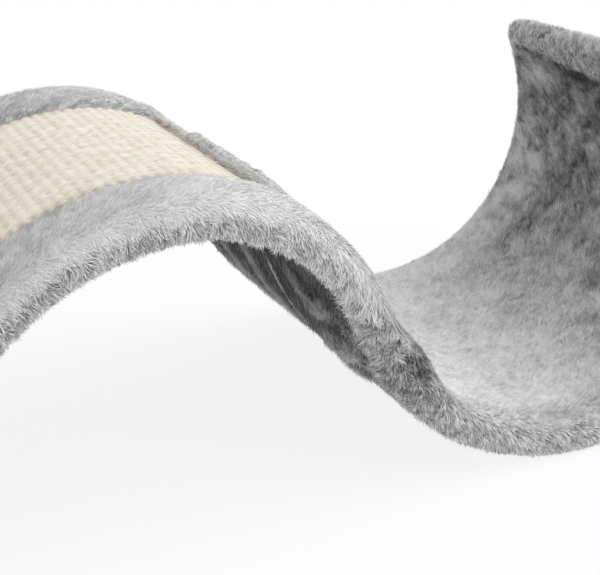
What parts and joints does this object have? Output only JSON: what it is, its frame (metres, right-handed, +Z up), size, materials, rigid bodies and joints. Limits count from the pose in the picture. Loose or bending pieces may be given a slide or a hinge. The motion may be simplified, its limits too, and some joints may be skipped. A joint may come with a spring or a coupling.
{
  "type": "sisal cat scratcher",
  "caption": "Wave-shaped cat scratcher: a bent board with a ribbed sisal mat on its arch and grey plush over the trough, edges and underside.",
  "frame": {"origin": "middle of the footprint, on the floor", "axes": "+X from the toe under the sisal arch to the curled tip, +Y across the board away from the near edge, +Z up"},
  "size_m": [0.5366, 0.27, 0.2037],
  "materials": {
    "plush": "soft light grey plush pile",
    "lining_plush": "short grey plush",
    "sisal": "natural ribbed sisal weave",
    "latex": "matt latex backing",
    "plywood": "bare bent plywood",
    "staple_wire": "bright galvanised wire"
  },
  "bodies": {
    "root": {"core_bottom_ply": "plywood", "core_middle_ply": "plywood", "core_top_ply": "plywood", "cover_staples": "staple_wire", "mat_backing": "latex", "sisal_mat": "sisal", "near_border_cover": "plush", "far_border_cover": "plush", "lounge_cover": "plush", "toe_cover": "plush", "tip_edge_cover": "plush", "toe_edge_cover": "plush", "near_lining": "lining_plush", "far_lining": "lining_plush"}
  },
  "joints": []
}
